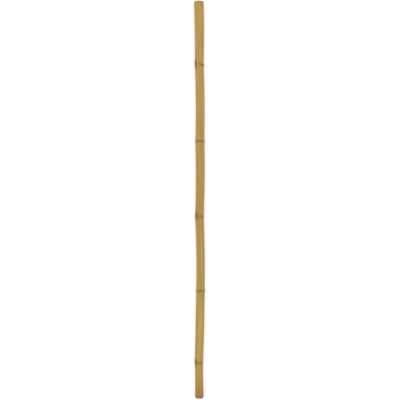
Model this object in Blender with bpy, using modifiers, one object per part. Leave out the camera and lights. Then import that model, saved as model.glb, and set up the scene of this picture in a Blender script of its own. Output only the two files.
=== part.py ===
import bisect
import math
from collections import namedtuple

import bmesh
import bpy

# A bamboo cane lying on a flat surface, as one closed solid.
# Y runs along it with the thick end at +Y, Z points up and Z = 0 is the surface.
# Sizes are in metres. A station is a distance from the cut at the thick end,
# and an angle goes round the cane from +X towards +Z.

LENGTH = 1.200
SIDES = 28

# Each node's station, the way its branch scar faces, and how far its ring leans.
Node = namedtuple("Node", "station branch_angle lean")
NODES = (
    Node(0.1909, 156, 0.0022),
    Node(0.4225, 330, -0.0008),
    Node(0.6500, 137, 0.0004),
    Node(0.8742, 335, 0.0002),
    Node(1.0911, 155, -0.0004),
)

# Diameters at the start, middle and end of each internode.
DIAMETERS = (
    (0.0297, 0.0285, 0.0268),
    (0.0270, 0.0271, 0.0271),
    (0.0276, 0.0272, 0.0261),
    (0.0264, 0.0257, 0.0256),
    (0.0263, 0.0262, 0.0251),
    (0.0249, 0.0244, 0.0259),
)

# Where the middle of the stem lies sideways at the thick end, at each node and at
# the thin end, and how far each internode bows sideways and upwards in between.
SIDEWAYS = (-0.0031, -0.0018, 0.0001, -0.0013, 0.0017, -0.0028, -0.0014)
SIDE_BOWS = (0.0011, 0.0020, 0.0019, 0.0017, 0.0007, 0.0002)
LIFT_BOWS = (0.0006, 0.0012, 0.0008, 0.0014, 0.0010, 0.0003)
KINK_REACH = 0.006
END_LIFT = 0.0003
FLAT_DEPTH = 0.0006

# Relief at a node: the stem swells up to the ring, the sheath's scar is a groove,
# and a rounded ridge follows it on the side of the thin end.
SWELL_HEIGHT = 0.0004
SWELL_BEFORE = 0.022
SWELL_AFTER = 0.007
SCAR_DEPTH = 0.0006
SCAR_REACH = 0.0014
RIDGE_HEIGHT = 0.0007
RIDGE_OFFSET = 0.0042
RIDGE_REACH = 0.0024

# The branch scar is a low oval stub, and the ring dips round its lower side.
BRANCH_HEIGHT = 0.0011
BRANCH_HALF_LENGTH = 0.0120
BRANCH_HALF_ANGLE = 27
BRANCH_FLAT = 0.6
BRANCH_OFFSET = 0.0010
DIP_LENGTH = 0.0085
DIP_ANGLE = 25
WARP_BEFORE = 0.040
WARP_AFTER = 0.024

# The hollow runs in from each cut to the wall inside the nearest node.
BORE_RADII = (0.0092, 0.0072)
BORE_DEPTHS = (0.1880, 0.1055)
BORE_DOME = 0.006
EASED_EDGES = (0.0020, 0.0045)
INNER_EASE = 0.0005
RIM_REACH = 0.010

RING_OFFSETS = (
    *(-0.040, -0.026, -0.016, -0.0115, -0.008, -0.0055, -0.0035, -0.0022, -0.001),
    *(0.0, 0.001, 0.0020, 0.0031, 0.0043, 0.0057, 0.0078, 0.0110, 0.016, 0.024),
)
RING_SPACING = 0.045
ARC_STEPS = 4
SHARP_ANGLE = 40

RIND_COLOUR = (0.456, 0.301, 0.100, 1.0)
RIND_ROUGHNESS = 0.5

STATIONS = (0.0, *(node.station for node in NODES), LENGTH)


def bell(value):
    return math.exp(-value * value)


def ease(value):
    value = min(max(value, 0.0), 1.0)
    return value * value * (3 - 2 * value)


def internode_at(station):
    """The internode that a station is on, and how far along it from 0 to 1."""
    index = min(max(bisect.bisect_right(STATIONS, station) - 1, 0), len(NODES))
    start, end = STATIONS[index], STATIONS[index + 1]
    return index, (station - start) / (end - start)


def stem_radius(station):
    index, along = internode_at(station)
    start, middle, end = DIAMETERS[index]
    across = (
        start * (1 - along) * (1 - 2 * along)
        + middle * 4 * along * (1 - along)
        + end * along * (2 * along - 1)
    )
    return across / 2


def nearest_node(station):
    return min(NODES, key=lambda node: abs(station - node.station))


def node_relief(offset):
    """Height of the relief at this distance past a node's ring."""
    swell = bell(offset / (SWELL_BEFORE if offset < 0 else SWELL_AFTER))
    scar = bell(offset / SCAR_REACH)
    ridge = bell((offset - RIDGE_OFFSET) / RIDGE_REACH)
    return SWELL_HEIGHT * swell - SCAR_DEPTH * scar + RIDGE_HEIGHT * ridge


def wander(station, marks, bows):
    """A line through the marks at the ends and nodes, bowed in each internode."""
    index, along = internode_at(station)
    straight = marks[index] * (1 - along) + marks[index + 1] * along
    return straight + bows[index] * 4 * along * (1 - along)


def softened(station, marks, bows):
    steps = (-1.0, -0.5, 0.0, 0.5, 1.0)
    return sum(wander(station + step * KINK_REACH, marks, bows) for step in steps) / len(steps)


def resting_heights():
    """Heights of the stem's middle that set each ridge on the surface."""
    ridge = node_relief(RIDGE_OFFSET) - FLAT_DEPTH
    at_nodes = [stem_radius(node.station + RIDGE_OFFSET) + ridge for node in NODES]
    return (stem_radius(0) + END_LIFT, *at_nodes, stem_radius(LENGTH) + END_LIFT)


HEIGHTS = resting_heights()


def ring_stations():
    """Rings close together at each node and far apart between nodes."""
    rings = [node.station + offset for node in NODES for offset in RING_OFFSETS]
    for start, end in zip(STATIONS, STATIONS[1:]):
        first = start + (RING_OFFSETS[-1] if start else 0.0)
        last = end + (RING_OFFSETS[0] if end < LENGTH else 0.0)
        spans = max(round((last - first) / RING_SPACING), 1)
        rings += [first + (last - first) * i / spans for i in range(1, spans)]
    return sorted(rings)


def arc(centre_radius, centre_station, size, start_angle):
    """A quarter round of the profile, as (radius, station) points."""
    points = []
    for i in range(ARC_STEPS + 1):
        angle = math.radians(start_angle - 90 * i / ARC_STEPS)
        points.append(
            (centre_radius + size * math.cos(angle), centre_station - size * math.sin(angle))
        )
    return points


def bore_profile(radius, depth):
    """From the middle of the wall inside the node out to the cut, measured from the cut."""
    dome = []
    for i in range(ARC_STEPS + 1):
        angle = math.radians(90 * i / ARC_STEPS)
        dome.append((radius * math.sin(angle), depth - BORE_DOME * (1 - math.cos(angle))))
    spans = round(depth / RING_SPACING)
    wall = [(radius, (depth - BORE_DOME) * (1 - i / spans)) for i in range(1, spans)]
    return [*dome, *wall, (radius, INNER_EASE), (radius + INNER_EASE, 0.0)]


def cane_profile():
    """Half of the cane's section, from the hollow at the thick end round to the other."""
    thick, thin = EASED_EDGES
    skin = [
        (stem_radius(s) + node_relief(s - nearest_node(s).station), s) for s in ring_stations()
    ]
    other_end = [(r, LENGTH - s) for r, s in bore_profile(BORE_RADII[1], BORE_DEPTHS[1])]
    return [
        *bore_profile(BORE_RADII[0], BORE_DEPTHS[0]),
        *arc(stem_radius(thick) - thick, thick, thick, 90),
        *skin,
        *arc(stem_radius(LENGTH - thin) - thin, LENGTH - thin, thin, 0),
        *reversed(other_end),
    ]


def turned_cane():
    """The straight cane, turned round Z with the thick end's cut at Z = 0."""
    mesh = bpy.data.meshes.new("cane_profile")
    points = [(radius, 0.0, -station) for radius, station in cane_profile()]
    mesh.from_pydata(points, [(i, i + 1) for i in range(len(points) - 1)], [])
    cane = bpy.data.objects.new("cane", mesh)
    turn = cane.modifiers.new("Turn", "SCREW")
    turn.steps = turn.render_steps = SIDES
    turn.use_merge_vertices = True
    turn.merge_threshold = 0.0001
    return cane


def turn_between(angle, other):
    """Degrees from one angle to another, the short way round."""
    return (math.degrees(angle) - other + 180) % 360 - 180


def on_branch(station, turned, node):
    """How far a point lies on the node's branch scar, from 0 to 1."""
    along = (station - node.station - BRANCH_OFFSET) / BRANCH_HALF_LENGTH
    outwards = math.hypot(along, turned / BRANCH_HALF_ANGLE)
    return 1 - ease((outwards - BRANCH_FLAT) / (1 - BRANCH_FLAT))


def ring_shift(station, turned, node):
    """How far the ring's lean and its dip round the branch move a point."""
    offset = station - node.station
    reach = 1 - ease(abs(offset) / (WARP_BEFORE if offset < 0 else WARP_AFTER))
    lean = node.lean * math.cos(math.radians(turned))
    return -reach * (lean + DIP_LENGTH * bell(turned / DIP_ANGLE))


def on_skin(station, radius):
    """Whether a point is on the outside of the cane, clear of the rims and the hollows."""
    in_wall = (stem_radius(station) + max(BORE_RADII)) / 2
    return radius > in_wall and RIM_REACH < station < LENGTH - RIM_REACH


def grown_point(point):
    """A point of the straight turned cane, moved to where it is on the grown one."""
    station, radius = -point.z, math.hypot(point.x, point.y)
    angle = math.atan2(-point.y, point.x)
    node = nearest_node(station)
    turned = turn_between(angle, node.branch_angle)
    if on_skin(station, radius):
        relief = node_relief(station - node.station)
        station += ring_shift(station, turned, node)
        radius += (BRANCH_HEIGHT - relief) * on_branch(station, turned, node)
    across = softened(station, SIDEWAYS, SIDE_BOWS) + radius * math.cos(angle)
    height = softened(station, HEIGHTS, LIFT_BOWS) + radius * math.sin(angle)
    return across, LENGTH / 2 - station, max(height, 0.0)


def shape_cane(cane):
    """Gives the turned cane its bends, leaning rings, branch scars and flat rests."""
    profile = cane.data
    graph = bpy.context.evaluated_depsgraph_get()
    mesh = bpy.data.meshes.new_from_object(cane.evaluated_get(graph))
    mesh.name = cane.name
    cane.modifiers.clear()
    cane.data = mesh
    bpy.data.meshes.remove(profile)
    shape = bmesh.new()
    shape.from_mesh(mesh)
    for vertex in shape.verts:
        vertex.co = grown_point(vertex.co)
    across = [vertex.co.x for vertex in shape.verts]
    middle = (min(across) + max(across)) / 2
    bmesh.ops.translate(shape, verts=shape.verts, vec=(-middle, 0, 0))
    shape.to_mesh(mesh)
    shape.free()
    mesh.shade_smooth()
    mesh.set_sharp_from_angle(angle=math.radians(SHARP_ANGLE))


def rind_material():
    material = bpy.data.materials.new("bamboo_rind")
    material.use_nodes = True
    surface = material.node_tree.nodes["Principled BSDF"]
    surface.inputs["Base Color"].default_value = RIND_COLOUR
    surface.inputs["Roughness"].default_value = RIND_ROUGHNESS
    surface.inputs["Metallic"].default_value = 0.0
    return material


def main():
    for old in list(bpy.data.objects):
        bpy.data.objects.remove(old)
    collection = bpy.data.collections.new("bamboo_cane")
    bpy.context.scene.collection.children.link(collection)
    cane = turned_cane()
    collection.objects.link(cane)
    shape_cane(cane)
    cane.data.materials.append(rind_material())


main()
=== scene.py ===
# A dried bamboo cane lying on a pale surface, seen from straight above.
# Lengths are in metres. A station is a distance from the cut at the thick end,
# and an angle in degrees goes round the cane from +X towards +Z.
import bisect
import math

import bmesh
import bpy
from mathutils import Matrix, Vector, noise


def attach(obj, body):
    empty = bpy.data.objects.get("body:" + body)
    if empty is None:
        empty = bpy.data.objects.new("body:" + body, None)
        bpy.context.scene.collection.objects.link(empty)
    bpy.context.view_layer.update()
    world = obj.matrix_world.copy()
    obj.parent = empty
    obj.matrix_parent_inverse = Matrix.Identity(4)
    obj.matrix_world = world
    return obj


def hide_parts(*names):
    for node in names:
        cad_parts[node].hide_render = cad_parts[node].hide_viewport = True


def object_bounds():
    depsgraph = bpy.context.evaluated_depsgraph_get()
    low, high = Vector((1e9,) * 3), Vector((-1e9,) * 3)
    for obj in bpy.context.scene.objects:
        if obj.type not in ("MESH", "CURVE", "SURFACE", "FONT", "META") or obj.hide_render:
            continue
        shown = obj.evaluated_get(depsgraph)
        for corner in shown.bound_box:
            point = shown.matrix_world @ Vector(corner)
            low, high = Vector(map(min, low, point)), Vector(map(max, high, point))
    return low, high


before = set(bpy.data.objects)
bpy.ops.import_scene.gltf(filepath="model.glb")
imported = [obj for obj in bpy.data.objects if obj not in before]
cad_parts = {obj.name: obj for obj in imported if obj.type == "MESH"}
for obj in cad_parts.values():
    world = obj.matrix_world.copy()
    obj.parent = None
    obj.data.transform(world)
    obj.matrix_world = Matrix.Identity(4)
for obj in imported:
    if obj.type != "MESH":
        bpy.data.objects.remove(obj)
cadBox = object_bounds()
print("frame loaded:", sorted(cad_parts))


def bell(value):
    return math.exp(-value * value)


def ease(value):
    value = min(max(value, 0.0), 1.0)
    return value * value * (3 - 2 * value)


def turnBetween(angle, other):
    return (angle - other + 180) % 360 - 180


def linearColour(hexColour):
    channels = [int(hexColour[i:i + 2], 16) / 255 for i in (1, 3, 5)]
    return [c / 12.92 if c <= 0.04045 else ((c + 0.055) / 1.055) ** 2.4 for c in channels] + [1.0]


def addNode(tree, kind, settings=None, links=None):
    # a setting is a property or a socket's value, and a link comes from a node's first
    # output or from the output named beside it
    node = tree.nodes.new(kind)
    for name, value in (settings or {}).items():
        if isinstance(name, str) and hasattr(node, name):
            setattr(node, name, value)
        else:
            node.inputs[name].default_value = value
    for name, source in (links or {}).items():
        source, output = source if isinstance(source, tuple) else (source, 0)
        tree.links.new(source.outputs[output], node.inputs[name])
    return node


def setStops(ramp, stops):
    # each stop is a place from 0 to 1 with a hex colour or a grey level
    elements = ramp.color_ramp.elements
    while len(elements) < len(stops):
        elements.new(1.0)
    for element, (place, colour) in zip(elements, stops):
        element.position = place
        element.color = linearColour(colour) if isinstance(colour, str) else [colour] * 3 + [1.0]


# the cane as it grew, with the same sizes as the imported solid

cane = {
    "length": 1.200,
    "sides": 128,
    "mergeDistance": 0.00002,
    "sharpAngle": 50,
    "ringSpacing": 0.0070,       # between nodes
    "fineSpacing": 0.0006,       # close to a node
    "fineReach": 0.019,
    "nodes": (                   # station, the way its branch faces, lean of its ring
        (0.1909, 156, 0.0022),
        (0.4225, 330, -0.0008),
        (0.6500, 137, 0.0004),
        (0.8742, 335, 0.0002),
        (1.0911, 155, -0.0004),
    ),
    "diameters": (               # at the start, middle and end of each internode
        (0.0297, 0.0285, 0.0268),
        (0.0270, 0.0271, 0.0271),
        (0.0276, 0.0272, 0.0261),
        (0.0264, 0.0257, 0.0256),
        (0.0263, 0.0262, 0.0251),
        (0.0249, 0.0244, 0.0259),
    ),
    "sideways": (-0.0031, -0.0018, 0.0001, -0.0013, 0.0017, -0.0028, -0.0014),
    "sideBows": (0.0011, 0.0020, 0.0019, 0.0017, 0.0007, 0.0002),
    "liftBows": (0.0006, 0.0012, 0.0008, 0.0014, 0.0010, 0.0003),
    "kinkReach": 0.006,
    "endLift": 0.0003,
    "flatDepth": 0.0006,
}

nodeStations = [station for station, branchAngle, lean in cane["nodes"]]
stations = [0.0, *nodeStations, cane["length"]]


def internodeAt(station):
    index = min(max(bisect.bisect_right(stations, station) - 1, 0), len(nodeStations))
    start, end = stations[index], stations[index + 1]
    return index, (station - start) / (end - start)


def nearestNode(station):
    return min(cane["nodes"], key=lambda node: abs(station - node[0]))


def stemRadius(station):
    # a parabola through the three diameters of the internode
    index, along = internodeAt(station)
    start, middle, end = cane["diameters"][index]
    across = (
        start * (1 - along) * (1 - 2 * along)
        + middle * 4 * along * (1 - along)
        + end * along * (2 * along - 1)
    )
    return across / 2


def wander(station, marks, bows):
    index, along = internodeAt(station)
    straight = marks[index] * (1 - along) + marks[index + 1] * along
    return straight + bows[index] * 4 * along * (1 - along)


def softened(station, marks, bows):
    steps = (-1.0, -0.5, 0.0, 0.5, 1.0)
    reach = cane["kinkReach"]
    return sum(wander(station + step * reach, marks, bows) for step in steps) / len(steps)


# what stands up and sinks in at a node

nodeForm = {
    "swellHeight": 0.0004,
    "swellBefore": 0.022,
    "swellAfter": 0.007,
    "scarDepth": 0.0006,
    "scarReach": 0.0014,
    "ridgeHeight": 0.0007,
    "ridgeOffset": 0.0042,
    "ridgeReach": 0.0024,
    "warpBefore": 0.040,
    "warpAfter": 0.024,
    "lipHeight": 0.00060,        # the torn edge that the leaf sheath left
    "lipOffset": -0.0015,
    "lipReach": 0.0009,
    "ragged": 0.0006,            # how far that edge strays from a true ring
    "raggedPitch": 0.0030,
    "raggedReach": 0.004,
    "raggedShift": 40,           # gives each node its own stretch of the noise
    "flare": (0, 12, 30, 0.0013, 0.0035),   # a bulge: node, facing, spread, height, reach
}


def nodeRelief(offset):
    form = nodeForm
    swell = bell(offset / (form["swellBefore"] if offset < 0 else form["swellAfter"]))
    scar = bell(offset / form["scarReach"])
    ridge = bell((offset - form["ridgeOffset"]) / form["ridgeReach"])
    return form["swellHeight"] * swell - form["scarDepth"] * scar + form["ridgeHeight"] * ridge


def restingHeights():
    # each ridge rests on the surface and both ends hang just clear of it
    offset = nodeForm["ridgeOffset"]
    ridge = nodeRelief(offset) - cane["flatDepth"]
    atNodes = [stemRadius(station + offset) + ridge for station in nodeStations]
    thickEnd, thinEnd = [stemRadius(end) + cane["endLift"] for end in (0.0, cane["length"])]
    return [thickEnd, *atNodes, thinEnd]


heights = restingHeights()

branchScar = {
    "height": 0.0011,
    "halfLength": 0.0120,
    "halfAngle": 27,
    "flat": 0.6,
    "offset": 0.0010,
    "dipLength": 0.0085,         # the ring dips round the branch
    "dipAngle": 25,
    "cuts": (                    # the branch and a twig beside it: place along, across, and size
        (-0.04, -0.20, 0.90),
        (0.08, -0.80, 0.44),
    ),
    "wobble": (0.30, 0.10),      # how far their outlines stray from an oval, broad and fine
    "wobblePitch": (0.70, 0.22),
    "wobbleShift": 20,           # gives each scar its own stretch of the noise
    "farSpan": 9.0,              # noted at points that are on no scar
    "pithShift": (0.14, -0.16),
    "dishDepth": 0.0004,         # the trimmed face dries hollow
    "pithDepth": 0.0008,
    "pithSpan": 0.14,
    "knobble": 0.00022,
    "knobbleWidth": 0.0012,
    "furrowDepth": 0.00015,      # a shallow furrow runs up the stem from the branch
    "furrowAngle": 15,
    "furrowLength": 0.080,
    "furrowStart": 0.15,         # the share of its length over which it deepens
}


def scarSpanAt(station, turned, node):
    # 0 at the pith of the nearest cut, which is off its middle, and 1 at the cut's edge
    along = (station - node[0] - branchScar["offset"]) / branchScar["halfLength"]
    across = turned / branchScar["halfAngle"]
    place = Vector((along, across, branchScar["wobbleShift"] * node[0]))
    stray = 1.0
    for amount, pitch in zip(branchScar["wobble"], branchScar["wobblePitch"]):
        stray += amount * noise.noise(place / pitch)
    shiftAlong, shiftAcross = branchScar["pithShift"]
    spans = []
    for cutAlong, cutAcross, size in branchScar["cuts"]:
        up, over = (along - cutAlong) / size, (across - cutAcross) / size
        inside = max(1 - math.hypot(up, over), 0.0)
        spans.append(math.hypot(up - shiftAlong * inside, over - shiftAcross * inside))
    return min(spans) * stray


def ringShift(station, turned, node, around):
    offset = station - node[0]
    reach = 1 - ease(abs(offset) / nodeForm["warpBefore" if offset < 0 else "warpAfter"])
    lean = node[2] * math.cos(math.radians(turned))
    dip = branchScar["dipLength"] * bell(turned / branchScar["dipAngle"])
    ownNoise = Vector((0, 0, nodeForm["raggedShift"] * node[0]))
    torn = noise.noise(around / nodeForm["raggedPitch"] + ownNoise)
    stray = nodeForm["ragged"] * torn * bell(offset / nodeForm["raggedReach"])
    return -reach * (lean + dip) - stray


def flareAt(station, degrees, node):
    # the first ring stands out on one side
    index, facing, spread, height, reach = nodeForm["flare"]
    if node != cane["nodes"][index]:
        return 0.0
    around = bell(turnBetween(degrees, facing) / spread)
    return height * around * bell((station - node[0]) / reach)


def furrowAt(station, turned, node):
    past = (station - node[0]) / branchScar["furrowLength"]
    if not 0 < past < 1:
        return 0.0
    along = ease(past / branchScar["furrowStart"]) * (1 - past) ** 2
    return branchScar["furrowDepth"] * along * bell(turned / branchScar["furrowAngle"])


skinForm = {
    "fluteDepth": 0.00007,       # lengthwise flutes left as the stem dried
    "fluteWidth": 0.0026,
    "fluteLength": 0.12,
    "ovalDepth": 0.00006,
    "ovalLength": 0.35,
}


def dryingSink(station, angle, around):
    # always inwards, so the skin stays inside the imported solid's box
    flutes = around / skinForm["fluteWidth"] + Vector((0, 0, station / skinForm["fluteLength"]))
    oval = math.cos(2 * angle + 2 * math.pi * station / skinForm["ovalLength"])
    return (
        skinForm["fluteDepth"] * (1 - noise.noise(flutes)) / 2
        + skinForm["ovalDepth"] * (1 - oval) / 2
    )


# the two hollows and the sawn ends, thick end first

bore = {
    "radii": (0.0092, 0.0072),
    "depths": (0.1880, 0.1055),
    "corner": 0.005,
    "easedEdges": (0.0020, 0.0045),
    "innerEase": 0.0005,
    "liningEdge": 0.3,           # the shares of the eased edges where the finishes meet
    "sawnEdge": 0.35,
    "rimReach": 0.010,           # closer to a cut than this the rind keeps its turned form
    "rimSlack": 0.00001,
    "segments": 8,
}


def addOutline(shape):
    # half of the straight cane's section: the corners, rounded where they are worn
    length = cane["length"]
    thickBore, thinBore = bore["radii"]
    thickDepth, thinDepth = bore["depths"]
    thickEdge, thinEdge = bore["easedEdges"]
    reach = cane["fineReach"]
    skin = [(stemRadius(s + side), s + side) for s in nodeStations for side in (-reach, reach)]
    corners = [
        (0.0, thickDepth), (thickBore, thickDepth), (thickBore, 0.0), (stemRadius(thickEdge), 0.0),
        (stemRadius(bore["rimReach"]), bore["rimReach"]),
        *skin,
        (stemRadius(length - bore["rimReach"]), length - bore["rimReach"]),
        (stemRadius(length - thinEdge), length), (thinBore, length), (thinBore, length - thinDepth),
        (0.0, length - thinDepth),
    ]
    line = [shape.verts.new((radius, length / 2 - s, 0.0)) for radius, s in corners]
    for pair in zip(line, line[1:]):
        shape.edges.new(pair)
    rounded = (
        (line[1], bore["corner"]), (line[2], bore["innerEase"]), (line[3], thickEdge),
        (line[-4], thinEdge), (line[-3], bore["innerEase"]), (line[-2], bore["corner"]),
    )
    for vertex, size in rounded:
        bmesh.ops.bevel(
            shape, geom=[vertex], offset=size, offset_type="OFFSET", affect="VERTICES",
            segments=bore["segments"], profile=0.5, material=-1,
        )


def divideOutline(shape):
    # rings crowd together at each node, where the relief is fine
    length = cane["length"]
    for edge in list(shape.edges):
        middle = (edge.verts[0].co + edge.verts[1].co) / 2
        station = length / 2 - middle.y
        atNode = abs(station - nearestNode(station)[0]) < cane["fineReach"] * 0.5
        onRind = middle.x > stemRadius(station) * 0.9       # not in the hollow
        spacing = cane["fineSpacing"] if atNode and onRind else cane["ringSpacing"]
        cuts = int(edge.calc_length() / spacing)
        if cuts:
            bmesh.ops.subdivide_edges(shape, edges=[edge], cuts=cuts)


def turnCulm(shape):
    bmesh.ops.spin(
        shape, geom=shape.verts[:] + shape.edges[:], cent=(0, 0, 0), axis=(0, 1, 0),
        dvec=(0, 0, 0), angle=2 * math.pi, steps=cane["sides"], use_merge=True,
        use_duplicate=False,
    )
    bmesh.ops.remove_doubles(shape, verts=shape.verts, dist=cane["mergeDistance"])
    bmesh.ops.recalc_face_normals(shape, faces=shape.faces)


def assignFinishes(shape):
    # 0 is rind, 1 the sawn wall and 2 the lining of the hollow
    length = cane["length"]
    for face in shape.faces:
        centre = face.calc_center_median()
        station = length / 2 - centre.y
        end = 0 if station < length / 2 else 1
        fromCut = min(station, length - station)
        radius = math.hypot(centre.x, centre.z)
        if radius < bore["radii"][end] + bore["innerEase"] * bore["liningEdge"]:
            face.material_index = 2
        elif fromCut < bore["easedEdges"][end] * bore["sawnEdge"]:
            face.material_index = 1
        else:
            face.material_index = 0
        face.smooth = True


# discolouring and streaks on the rind, with painted edge shade and painted highlight stripes among
# the marks

stainsAndPaintedLight = {
    "colours": {
        "orange": "#b87f39",
        "brown": "#8f6a36",
        # olive is the cane's own tint underneath, and painted edge shade where its marks lie
        # towards the sides
        "olive": "#8a7c44",
        # pale is a real streak underneath, and a painted highlight where its marks run along the
        # top
        "pale": "#c9b06c",
        "umber": "#6b5534",
    },
    "marks": (                   # colour, station, angle, half length, half angle, share
        ("brown", 0.013, 52, 0.008, 14, 0.60),
        ("brown", 0.004, 40, 0.006, 18, 0.50),
        ("umber", 0.003, 68, 0.004, 16, 0.22),
        ("orange", 0.050, 112, 0.075, 20, 0.42),
        # olive on the right of the first internode: painted shade on that edge
        ("olive", 0.095, 48, 0.060, 16, 0.45),
        ("olive", 0.150, 30, 0.050, 16, 0.25),
        ("brown", 0.1905, 130, 0.012, 11, 0.70),
        ("pale", 0.310, 66, 0.095, 11, 0.35),
        ("brown", 0.372, 92, 0.030, 22, 0.25),
        ("orange", 0.385, 100, 0.045, 26, 0.45),
        ("pale", 0.545, 63, 0.090, 10, 0.20),
        ("orange", 0.690, 122, 0.034, 16, 0.60),
        ("orange", 0.858, 92, 0.022, 45, 0.30),
        # a painted highlight stripe
        ("pale", 0.755, 73, 0.085, 14, 0.50),
        ("pale", 0.760, 150, 0.080, 15, 0.30),
        # painted shadow along the right edge of the fourth internode
        ("olive", 0.790, 40, 0.090, 13, 0.60),
        ("umber", 0.889, 10, 0.009, 11, 0.40),
        ("orange", 0.905, 80, 0.028, 24, 0.40),
        # olive along both edges and pale along the top: painted edge shade and painted highlight
        ("olive", 0.985, 152, 0.090, 14, 0.75),
        ("olive", 1.000, 17, 0.085, 16, 0.55),
        ("pale", 0.985, 88, 0.085, 26, 0.40),
        ("brown", 0.6545, 126, 0.010, 10, 0.35),
        ("brown", 1.0935, 132, 0.0090, 14, 0.95),
        ("orange", 1.186, 100, 0.022, 30, 0.62),
        ("brown", 1.180, 93, 0.024, 9, 0.40),
        ("pale", 1.170, 57, 0.030, 10, 0.30),
        ("brown", 1.184, 42, 0.020, 11, 0.60),
        ("umber", 1.200, 30, 0.024, 15, 0.70),
        ("umber", 1.188, 141, 0.026, 14, 0.32),
        ("orange", 0.280, 250, 0.080, 22, 0.40),
        ("olive", 0.470, 215, 0.090, 24, 0.45),
        ("brown", 0.770, 262, 0.030, 18, 0.35),
        ("pale", 0.330, 300, 0.090, 12, 0.40),
        ("orange", 0.960, 285, 0.060, 20, 0.45),
        ("olive", 1.130, 235, 0.050, 26, 0.40),
    ),
    "rings": (                   # strength of each node's dark ring, where it is darkest, evenness
        (1.00, 22, 0.50),
        (0.68, 90, 0.85),
        (0.80, 62, 0.40),
        (0.66, 100, 0.80),
        (0.85, 115, 0.75),
    ),
    "ringSpread": 60,            # degrees to each side of its darkest place
    "ringReach": (0.020, 0.040),   # the ring's tone fades out between these distances
    "wear": (0.5, 45, 18),       # the ring is worn pale: share, degrees off the branch, spread
    "markReach": 2.4,            # a mark is left out past this many half lengths
    "unmarked": (0.4, 0.3, 0.1),   # stands under the marks with no share
}


def stainAndPaintedLightAt(station, angle):
    # the marks laid over each other, as one colour with their share in the last channel; olive
    # marks along the sides paint shade and pale ones along the top paint highlight
    red, green, blue = stainsAndPaintedLight["unmarked"]
    share = 0.0
    for name, middle, facing, halfLength, halfAngle, strength in stainsAndPaintedLight["marks"]:
        away = math.hypot(
            (station - middle) / halfLength, turnBetween(angle, facing) / halfAngle
        )
        if away > stainsAndPaintedLight["markReach"]:
            continue
        amount = strength * bell(away)
        colour = linearColour(stainsAndPaintedLight["colours"][name])
        total = share + amount * (1 - share)
        keep = amount / total if total > 0 else 0.0
        red += (colour[0] - red) * keep
        green += (colour[1] - green) * keep
        blue += (colour[2] - blue) * keep
        share = total
    return red, green, blue, share


def ringToneAt(station, node, angle):
    # darkest on one side, and worn pale where the ring comes near the branch
    near, far = stainsAndPaintedLight["ringReach"]
    close = 1 - ease((abs(station - node[0]) - near) / (far - near))
    strength, facing, evenness = stainsAndPaintedLight["rings"][cane["nodes"].index(node)]
    wear, wornAt, wornSpread = stainsAndPaintedLight["wear"]
    worn = 1 - wear * bell((abs(turnBetween(angle, node[1])) - wornAt) / wornSpread)
    away = turnBetween(angle, facing) / stainsAndPaintedLight["ringSpread"]
    around = evenness + (1 - evenness) * bell(away)
    return close * worn * strength * around


def growCulm(shape):
    # moves the straight tube to its grown form and notes each point's place on it
    length, skinStart = cane["length"], bore["rimReach"] - bore["rimSlack"]
    layers = shape.verts.layers
    grain = layers.float_vector.new("grain")
    stainAndLightColour = layers.float_color.new("stainAndLightColour")
    ringGap = layers.float.new("ringGap")
    ringTone = layers.float.new("ringTone")
    scarSpan = layers.float.new("scarSpan")
    wallDepth = layers.float.new("wallDepth")
    for vertex in shape.verts:
        radius = math.hypot(vertex.co.x, vertex.co.z)
        angle = math.atan2(vertex.co.z, vertex.co.x)
        degrees = math.degrees(angle)
        station = length / 2 - vertex.co.y
        node = nearestNode(station)
        turned = turnBetween(degrees, node[1])
        outer = stemRadius(station)
        boreRadius = bore["radii"][0 if station < length / 2 else 1]
        around = Vector((math.cos(angle), math.sin(angle), 0.0)) * radius
        vertex[grain] = (around.x, around.y, station)
        vertex[ringGap] = station - node[0]
        vertex[ringTone] = ringToneAt(station, node, degrees)
        vertex[wallDepth] = min(max((radius - boreRadius) / (outer - boreRadius), 0.0), 1.0)
        vertex[scarSpan] = branchScar["farSpan"]
        if radius > (outer + boreRadius) / 2:
            # real discolouring mixed with painted edge shade and painted highlight stripes
            vertex[stainAndLightColour] = stainAndPaintedLightAt(station, degrees)
            if skinStart < station < length - skinStart:
                offset = station - node[0]
                relief = nodeRelief(offset)
                lip = bell((offset - nodeForm["lipOffset"]) / nodeForm["lipReach"])
                flare = flareAt(station, degrees, node)
                furrow = furrowAt(station, turned, node)
                sink = dryingSink(station, angle, around)
                station += ringShift(station, turned, node, around)
                span = scarSpanAt(station, turned, node)
                flat = branchScar["flat"]
                onStub = 1 - ease((span - flat) / (1 - flat))
                dish = branchScar["dishDepth"] * (1 - ease(span / flat))
                pith = branchScar["pithDepth"] * bell(span / branchScar["pithSpan"])
                knobs = noise.noise(Vector(vertex[grain]) / branchScar["knobbleWidth"])
                rough = branchScar["knobble"] * (1 - knobs)
                stub = branchScar["height"] - dish - pith - rough
                bare = relief + nodeForm["lipHeight"] * lip + flare - furrow - sink
                radius = outer + bare + (stub - bare) * onStub
                vertex[scarSpan] = span
        across = softened(station, cane["sideways"], cane["sideBows"]) + radius * math.cos(angle)
        height = softened(station, heights, cane["liftBows"]) + radius * math.sin(angle)
        vertex.co = (across, length / 2 - station, max(height, 0.0))


def centreCulm(shape):
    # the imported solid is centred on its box, so the culm moves to the same middle
    low, high = cadBox
    across = [vertex.co.x for vertex in shape.verts]
    middle = (min(across) + max(across)) / 2
    bmesh.ops.translate(shape, verts=shape.verts, vec=((low.x + high.x) / 2 - middle, 0, 0))


shape = bmesh.new()
addOutline(shape)
divideOutline(shape)
turnCulm(shape)
assignFinishes(shape)
growCulm(shape)
centreCulm(shape)
culmMesh = bpy.data.meshes.new("bambooCulm")
shape.to_mesh(culmMesh)
shape.free()
culmMesh.set_sharp_from_angle(angle=math.radians(cane["sharpAngle"]))
culm = bpy.data.objects.new("bambooCulm", culmMesh)
bpy.context.scene.collection.objects.link(culm)
print("culm:", len(culmMesh.polygons), "faces")


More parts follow.
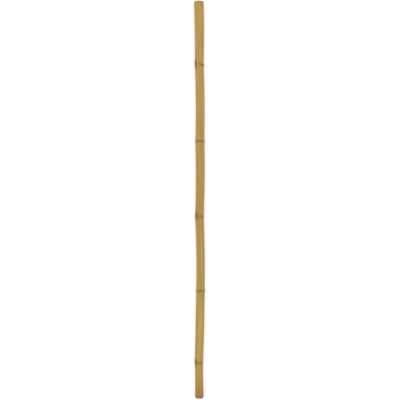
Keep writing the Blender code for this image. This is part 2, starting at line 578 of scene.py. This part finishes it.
rind = {
    "tints": (                   # along the cane, from the thick end to the thin end
        # the first stops darken onto the eased rim at the thick cut: painted shade
        (0.000, "#a28c58"),
        (0.002, "#ad8f52"),
        (0.008, "#b49150"),
        (0.030, "#b79551"),
        (0.120, "#b5944d"),
        (0.170, "#b4934a"),
        (0.350, "#b29045"),
        (0.540, "#ab883d"),
        (0.630, "#a98a3e"),
        (0.760, "#ae9142"),
        (0.890, "#b19341"),
        (0.950, "#ab8f3a"),
        # the last stops darken steeply onto the eased rim at the thin cut: painted shade
        (0.990, "#957533"),
        (0.9965, "#6d562d"),
        (1.000, "#5c4a2b"),
    ),
    "streakWidth": 0.0050,
    "streakLength": 0.30,
    "mottleWidth": 0.008,
    "mottleLength": 0.030,
    "fibreWidth": 0.0008,        # real fibres are 0.3 mm apart, drawn coarser so that they show
    "fibreLength": 0.070,
    "fleckWidth": 0.0011,
    "fleckLength": 0.0060,
    "tearWidth": 0.0015,         # fibres of the sheath that stayed on the ring
    "cutFibreSpacing": 0.0008,
    "mottleColour": "#8f6531",
    "darkFibreColour": "#7f5f2a",
    "paleFibreColour": "#c9ad66",
    "fleckColour": "#65441f",
    "ringColour": "#64451a",
    "cutFibreColour": "#5e431d",
    "ringShares": (              # across 20 mm, with the ring in the middle
        (0.00, 0.0), (0.38, 0.08), (0.42, 0.90), (0.46, 0.95), (0.50, 0.75), (0.58, 0.60),
        (0.64, 0.28), (0.72, 0.10), (0.86, 0.14), (0.96, 0.0),
    ),
    "scarColours": (             # from the pith of a cut branch out past its rim of bark
        (0.00, "#3f2a13"), (0.07, "#5f4220"), (0.12, "#9c7a43"), (0.41, "#8f6c33"),
        (0.45, "#694c1e"), (0.56, "#7b5e28"), (0.76, "#8f7036"),
    ),
    "scarShares": (              # how much of the rind those colours cover
        (0.00, 0.95), (0.50, 0.88), (0.64, 0.45), (0.80, 0.22), (1.00, 0.0),
    ),
    "roughness": (0.40, 0.56),
    "ior": 1.48,
    "specularLevel": 0.4,
    "waxWeight": 0.25,
    "waxRoughness": 0.30,
    "waxIor": 1.45,
    "fibreBump": 0.00004,
}


def rindMaterial():
    # air-dried culm rind: a thin glassy skin over straight fibres, so its colour runs
    # in lengthwise streaks under a satin, slightly waxy sheen
    material = bpy.data.materials.new("driedBambooRind")
    material.use_nodes = True
    tree = material.node_tree
    surface = tree.nodes["Principled BSDF"]
    grain = addNode(tree, "ShaderNodeAttribute", {"attribute_name": "grain"})
    place = addNode(tree, "ShaderNodeSeparateXYZ", links={"Vector": (grain, "Vector")})
    along = addNode(
        tree, "ShaderNodeMapRange", {"From Max": cane["length"]}, {"Value": (place, "Z")}
    )
    tint = addNode(tree, "ShaderNodeValToRGB", links={"Fac": along})
    setStops(tint, rind["tints"])

    # broad streaks swing between orange and olive tan, and between light and dark
    width, length = rind["streakWidth"], rind["streakLength"]
    streakPlace = addNode(
        tree, "ShaderNodeMapping", {"Scale": (1 / width, 1 / width, 1 / length)},
        {"Vector": (grain, "Vector")},
    )
    streak = addNode(
        tree, "ShaderNodeTexNoise", {"Scale": 1.0, "Detail": 2.0, "Roughness": 0.5},
        {"Vector": streakPlace},
    )
    streakParts = addNode(tree, "ShaderNodeSeparateColor", links={"Color": (streak, "Color")})
    streakHue = addNode(
        tree, "ShaderNodeMapRange",
        {"From Min": 0.3, "From Max": 0.7, "To Min": 0.486, "To Max": 0.514},
        {"Value": (streakParts, "Red")},
    )
    streakValue = addNode(
        tree, "ShaderNodeMapRange",
        {"From Min": 0.3, "From Max": 0.7, "To Min": 0.90, "To Max": 1.08},
        {"Value": (streakParts, "Green")},
    )
    streaked = addNode(
        tree, "ShaderNodeHueSaturation",
        links={"Hue": streakHue, "Value": streakValue, "Color": tint},
    )

    # brown mottling a few centimetres long, from damp while it dried
    width, length = rind["mottleWidth"], rind["mottleLength"]
    mottlePlace = addNode(
        tree, "ShaderNodeMapping", {"Scale": (1 / width, 1 / width, 1 / length)},
        {"Vector": (grain, "Vector")},
    )
    mottle = addNode(
        tree, "ShaderNodeTexNoise", {"Scale": 1.0, "Detail": 3.0}, {"Vector": mottlePlace}
    )
    mottleShare = addNode(
        tree, "ShaderNodeMapRange",
        {"From Min": 0.54, "From Max": 0.78, "To Min": 0.0, "To Max": 0.40}, {"Value": mottle},
    )
    mottled = addNode(
        tree, "ShaderNodeMix", {"data_type": "RGBA", 7: linearColour(rind["mottleColour"])},
        {0: mottleShare, 6: streaked},
    )

    # fibres show through the skin as hair-fine dark and pale lines
    width, length = rind["fibreWidth"], rind["fibreLength"]
    fibrePlace = addNode(
        tree, "ShaderNodeMapping", {"Scale": (1 / width, 1 / width, 1 / length)},
        {"Vector": (grain, "Vector")},
    )
    fibre = addNode(
        tree, "ShaderNodeTexNoise", {"Scale": 1.0, "Detail": 2.0}, {"Vector": fibrePlace}
    )
    darkShare = addNode(
        tree, "ShaderNodeMapRange",
        {"From Min": 0.50, "From Max": 0.75, "To Min": 0.0, "To Max": 0.35}, {"Value": fibre},
    )
    darkFibres = addNode(
        tree, "ShaderNodeMix", {"data_type": "RGBA", 7: linearColour(rind["darkFibreColour"])},
        {0: darkShare, 6: (mottled, 2)},
    )
    paleShare = addNode(
        tree, "ShaderNodeMapRange",
        {"From Min": 0.48, "From Max": 0.28, "To Min": 0.0, "To Max": 0.25}, {"Value": fibre},
    )
    paleFibres = addNode(
        tree, "ShaderNodeMix", {"data_type": "RGBA", 7: linearColour(rind["paleFibreColour"])},
        {0: paleShare, 6: (darkFibres, 2)},
    )
    # the marks' colour: real discolouring, with painted shade on the sides and painted highlight
    # stripes along the top
    stainAndLightColour = addNode(tree, "ShaderNodeAttribute", {"attribute_name": "stainAndLightColour"})
    stainedWithPaintedLight = addNode(
        tree, "ShaderNodeMix", {"data_type": "RGBA"},
        {0: (stainAndLightColour, "Alpha"), 6: (paleFibres, 2), 7: (stainAndLightColour, "Color")},
    )

    # sparse brown flecks, longer than they are wide
    width, length = rind["fleckWidth"], rind["fleckLength"]
    fleckPlace = addNode(
        tree, "ShaderNodeMapping", {"Scale": (1 / width, 1 / width, 1 / length)},
        {"Vector": (grain, "Vector")},
    )
    fleck = addNode(
        tree, "ShaderNodeTexNoise", {"Scale": 1.0, "Detail": 1.0}, {"Vector": fleckPlace}
    )
    fleckShare = addNode(
        tree, "ShaderNodeMapRange",
        {"From Min": 0.71, "From Max": 0.80, "To Min": 0.0, "To Max": 0.55}, {"Value": fleck},
    )
    flecked = addNode(
        tree, "ShaderNodeMix", {"data_type": "RGBA", 7: linearColour(rind["fleckColour"])},
        {0: fleckShare, 6: (stainedWithPaintedLight, 2)},
    )

    # the sheath's torn edge leaves a dark ring, and the stem past it starts brown
    gap = addNode(tree, "ShaderNodeAttribute", {"attribute_name": "ringGap"})
    tone = addNode(tree, "ShaderNodeAttribute", {"attribute_name": "ringTone"})
    tear = addNode(
        tree, "ShaderNodeTexNoise", {"Scale": 1 / rind["tearWidth"], "Detail": 2.0},
        {"Vector": (grain, "Vector")},
    )
    tearShift = addNode(
        tree, "ShaderNodeMapRange",
        {"From Min": 0.2, "From Max": 0.8, "To Min": -0.0008, "To Max": 0.0008}, {"Value": tear},
    )
    tornGap = addNode(
        tree, "ShaderNodeMath", {"operation": "ADD"}, {0: (gap, "Fac"), 1: tearShift}
    )
    ringPlace = addNode(
        tree, "ShaderNodeMapRange", {"From Min": -0.010, "From Max": 0.010}, {"Value": tornGap}
    )
    ring = addNode(tree, "ShaderNodeValToRGB", links={"Fac": ringPlace})
    setStops(ring, rind["ringShares"])
    ringShare = addNode(
        tree, "ShaderNodeMath", {"operation": "MULTIPLY"}, {0: ring, 1: (tone, "Fac")}
    )
    ringed = addNode(
        tree, "ShaderNodeMix", {"data_type": "RGBA", 7: linearColour(rind["ringColour"])},
        {0: ringShare, 6: (flecked, 2)},
    )

    # the trimmed branch: a dried face with a dark pith and cut fibres, in a rim of bark
    span = addNode(tree, "ShaderNodeAttribute", {"attribute_name": "scarSpan"})
    frayed = addNode(
        tree, "ShaderNodeMapRange",
        {"From Min": 0.2, "From Max": 0.8, "To Min": -0.07, "To Max": 0.07}, {"Value": tear},
    )
    frayedSpan = addNode(
        tree, "ShaderNodeMath", {"operation": "ADD"}, {0: (span, "Fac"), 1: frayed}
    )
    scarPlace = addNode(tree, "ShaderNodeMapRange", {"From Max": 1.5}, {"Value": frayedSpan})
    scarColour = addNode(tree, "ShaderNodeValToRGB", links={"Fac": scarPlace})
    setStops(scarColour, rind["scarColours"])
    scarShare = addNode(tree, "ShaderNodeValToRGB", links={"Fac": scarPlace})
    setStops(scarShare, rind["scarShares"])
    scarred = addNode(
        tree, "ShaderNodeMix", {"data_type": "RGBA"},
        {0: scarShare, 6: (ringed, 2), 7: scarColour},
    )
    cutFibre = addNode(
        tree, "ShaderNodeTexVoronoi", {"Scale": 1 / rind["cutFibreSpacing"]},
        {"Vector": (grain, "Vector")},
    )
    cutFibreShare = addNode(
        tree, "ShaderNodeMapRange",
        {"From Min": 0.22, "From Max": 0.46, "To Min": 0.50, "To Max": 0.0},
        {"Value": (cutFibre, "Distance")},
    )
    onCut = addNode(
        tree, "ShaderNodeMapRange",
        {"From Min": 0.39, "From Max": 0.43, "To Min": 1.0, "To Max": 0.0}, {"Value": scarPlace},
    )
    onCutShare = addNode(
        tree, "ShaderNodeMath", {"operation": "MULTIPLY"}, {0: cutFibreShare, 1: onCut}
    )
    trimmed = addNode(
        tree, "ShaderNodeMix", {"data_type": "RGBA", 7: linearColour(rind["cutFibreColour"])},
        {0: onCutShare, 6: (scarred, 2)},
    )
    tree.links.new(trimmed.outputs[2], surface.inputs["Base Color"])
    lowest, highest = rind["roughness"]
    roughness = addNode(
        tree, "ShaderNodeMapRange",
        {"From Min": 0.25, "From Max": 0.75, "To Min": lowest, "To Max": highest},
        {"Value": fibre},
    )
    tree.links.new(roughness.outputs["Result"], surface.inputs["Roughness"])
    surface.inputs["IOR"].default_value = rind["ior"]
    surface.inputs["Specular IOR Level"].default_value = rind["specularLevel"]
    surface.inputs["Coat Weight"].default_value = rind["waxWeight"]
    surface.inputs["Coat Roughness"].default_value = rind["waxRoughness"]
    surface.inputs["Coat IOR"].default_value = rind["waxIor"]
    bump = addNode(
        tree, "ShaderNodeBump", {"Strength": 0.8, "Distance": rind["fibreBump"]},
        {"Height": fibre},
    )
    tree.links.new(bump.outputs["Normal"], surface.inputs["Normal"])
    return material


sawnWall = {
    "bundleSpacing": 0.0011,     # fibre bundles lie 1 mm apart inside
    "rimSpacing": 0.0006,        # and crowd together under the rind
    "sawPitch": 0.0005,
    "sawLength": 0.030,
    "sawAngle": 0.5,
    "tissue": (                  # from the hollow out to the rind
        (0.00, "#a98850"), (0.12, "#c4a871"), (0.55, "#b9985c"), (0.80, "#97713b"),
        (0.94, "#745227"), (1.00, "#80602f"),
    ),
    "bundleColour": "#5a3e20",
    "roughness": 0.80,
    "scoreBump": 0.00008,
}


def sawnWallMaterial():
    # sawn culm wall: pale soft tissue dotted with brown fibre bundles that crowd
    # into a dark hard layer under the rind, matt and scored by the saw
    material = bpy.data.materials.new("sawnBambooWall")
    material.use_nodes = True
    tree = material.node_tree
    surface = tree.nodes["Principled BSDF"]
    grain = addNode(tree, "ShaderNodeAttribute", {"attribute_name": "grain"})
    depth = addNode(tree, "ShaderNodeAttribute", {"attribute_name": "wallDepth"})
    tissue = addNode(tree, "ShaderNodeValToRGB", links={"Fac": (depth, "Fac")})
    setStops(tissue, sawnWall["tissue"])
    wide = addNode(
        tree, "ShaderNodeTexVoronoi",
        {"voronoi_dimensions": "2D", "Scale": 1 / sawnWall["bundleSpacing"]},
        {"Vector": (grain, "Vector")},
    )
    wideShare = addNode(
        tree, "ShaderNodeMapRange",
        {"From Min": 0.22, "From Max": 0.36, "To Min": 0.60, "To Max": 0.0},
        {"Value": (wide, "Distance")},
    )
    close = addNode(
        tree, "ShaderNodeTexVoronoi",
        {"voronoi_dimensions": "2D", "Scale": 1 / sawnWall["rimSpacing"]},
        {"Vector": (grain, "Vector")},
    )
    closeShare = addNode(
        tree, "ShaderNodeMapRange",
        {"From Min": 0.32, "From Max": 0.48, "To Min": 0.55, "To Max": 0.0},
        {"Value": (close, "Distance")},
    )
    underRind = addNode(
        tree, "ShaderNodeMapRange", {"From Min": 0.50, "From Max": 0.72}, {"Value": (depth, "Fac")}
    )
    share = addNode(
        tree, "ShaderNodeMix", {"data_type": "FLOAT"}, {0: underRind, 2: wideShare, 3: closeShare}
    )
    dotted = addNode(
        tree, "ShaderNodeMix", {"data_type": "RGBA", 7: linearColour(sawnWall["bundleColour"])},
        {0: share, 6: tissue},
    )
    tree.links.new(dotted.outputs[2], surface.inputs["Base Color"])
    surface.inputs["Roughness"].default_value = sawnWall["roughness"]
    scorePlace = addNode(
        tree, "ShaderNodeMapping",
        {
            "Rotation": (0, 0, sawnWall["sawAngle"]),
            "Scale": (1 / sawnWall["sawPitch"], 1 / sawnWall["sawLength"], 1.0),
        },
        {"Vector": (grain, "Vector")},
    )
    scores = addNode(
        tree, "ShaderNodeTexNoise", {"Scale": 1.0, "Detail": 2.0}, {"Vector": scorePlace}
    )
    bump = addNode(
        tree, "ShaderNodeBump", {"Strength": 0.7, "Distance": sawnWall["scoreBump"]},
        {"Height": scores},
    )
    tree.links.new(bump.outputs["Normal"], surface.inputs["Normal"])
    return material


lining = {
    "wrinkleWidth": 0.0010,
    "wrinkleLength": 0.020,
    "colours": ((0.30, "#a98b5a"), (0.50, "#cdb585"), (0.72, "#ddcaa0")),
    "roughness": 0.75,
    "wrinkleBump": 0.0001,
}


def liningMaterial():
    # the papery pith skin that lines the hollow: pale, matt and wrinkled lengthwise
    material = bpy.data.materials.new("bambooPithLining")
    material.use_nodes = True
    tree = material.node_tree
    surface = tree.nodes["Principled BSDF"]
    grain = addNode(tree, "ShaderNodeAttribute", {"attribute_name": "grain"})
    width, length = lining["wrinkleWidth"], lining["wrinkleLength"]
    wrinklePlace = addNode(
        tree, "ShaderNodeMapping", {"Scale": (1 / width, 1 / width, 1 / length)},
        {"Vector": (grain, "Vector")},
    )
    wrinkles = addNode(
        tree, "ShaderNodeTexNoise", {"Scale": 1.0, "Detail": 3.0}, {"Vector": wrinklePlace}
    )
    colours = addNode(tree, "ShaderNodeValToRGB", links={"Fac": wrinkles})
    setStops(colours, lining["colours"])
    tree.links.new(colours.outputs["Color"], surface.inputs["Base Color"])
    surface.inputs["Roughness"].default_value = lining["roughness"]
    bump = addNode(
        tree, "ShaderNodeBump", {"Strength": 0.8, "Distance": lining["wrinkleBump"]},
        {"Height": wrinkles},
    )
    tree.links.new(bump.outputs["Normal"], surface.inputs["Normal"])
    return material


for material in (rindMaterial(), sawnWallMaterial(), liningMaterial()):
    culmMesh.materials.append(material)
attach(culm, "root")
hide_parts("cane")
print("finishes:", [material.name for material in culmMesh.materials])


studio = {
    "floorSize": 120.0,
    "floorColour": "#c9c9c8",
    "floorRoughness": 0.9,
    "floorGlow": 0.45,           # keeps the paper white right up to the cane
    "skyStrength": 0.65,
    "lampSize": 2.0,
    "lampHeight": 2.9,
    "lampPower": 36.0,
    "keyStrength": 0.16,
    "keyTurn": (0.25, -0.60, 0.0),
    "keySoftness": 0.35,
}


def buildFloor():
    shape = bmesh.new()
    bmesh.ops.create_grid(shape, x_segments=1, y_segments=1, size=studio["floorSize"] / 2)
    mesh = bpy.data.meshes.new("paleFloor")
    shape.to_mesh(mesh)
    shape.free()
    floor = bpy.data.objects.new("paleFloor", mesh)
    bpy.context.scene.collection.objects.link(floor)
    material = bpy.data.materials.new("whiteBackgroundPaper")
    material.use_nodes = True
    surface = material.node_tree.nodes["Principled BSDF"]
    surface.inputs["Base Color"].default_value = linearColour(studio["floorColour"])
    surface.inputs["Roughness"].default_value = studio["floorRoughness"]
    surface.inputs["Specular IOR Level"].default_value = 0.0
    surface.inputs["Emission Color"].default_value = (1.0, 1.0, 1.0, 1.0)
    surface.inputs["Emission Strength"].default_value = studio["floorGlow"]
    mesh.materials.append(material)


def buildLights():
    world = bpy.data.worlds.new("softStudio")
    world.use_nodes = True
    sky = world.node_tree.nodes["Background"]
    sky.inputs["Color"].default_value = (1.0, 1.0, 1.0, 1.0)
    sky.inputs["Strength"].default_value = studio["skyStrength"]
    bpy.context.scene.world = world
    lamp = bpy.data.lights.new("softBox", "AREA")
    lamp.size = studio["lampSize"]
    lamp.energy = studio["lampPower"]
    softBox = bpy.data.objects.new("softBox", lamp)
    softBox.location = (0.0, 0.0, studio["lampHeight"])
    softBox.visible_glossy = False       # or it draws a bright stripe down the cane
    key = bpy.data.lights.new("sideKey", "SUN")
    key.energy = studio["keyStrength"]
    key.angle = studio["keySoftness"]
    sideKey = bpy.data.objects.new("sideKey", key)
    sideKey.rotation_euler = studio["keyTurn"]
    for light in (softBox, sideKey):
        bpy.context.scene.collection.objects.link(light)


view = {
    "height": 2.40,
    "aimX": 0.00159,             # sets the cane in the frame
    "aimY": -0.0002,
    "frameWidth": 1.2115,        # at the height of the cane's middle
    "middleHeight": 0.0143,
    "sensor": 36.0,
}


def buildCamera():
    data = bpy.data.cameras.new("overhead")
    data.sensor_width = view["sensor"]
    data.lens = view["sensor"] * (view["height"] - view["middleHeight"]) / view["frameWidth"]
    overhead = bpy.data.objects.new("overhead", data)
    overhead.location = (view["aimX"], view["aimY"], view["height"])
    bpy.context.scene.collection.objects.link(overhead)
    bpy.context.scene.camera = overhead


buildFloor()
buildLights()
buildCamera()
bpy.context.scene.view_settings.view_transform = "Standard"
print("stage ready")
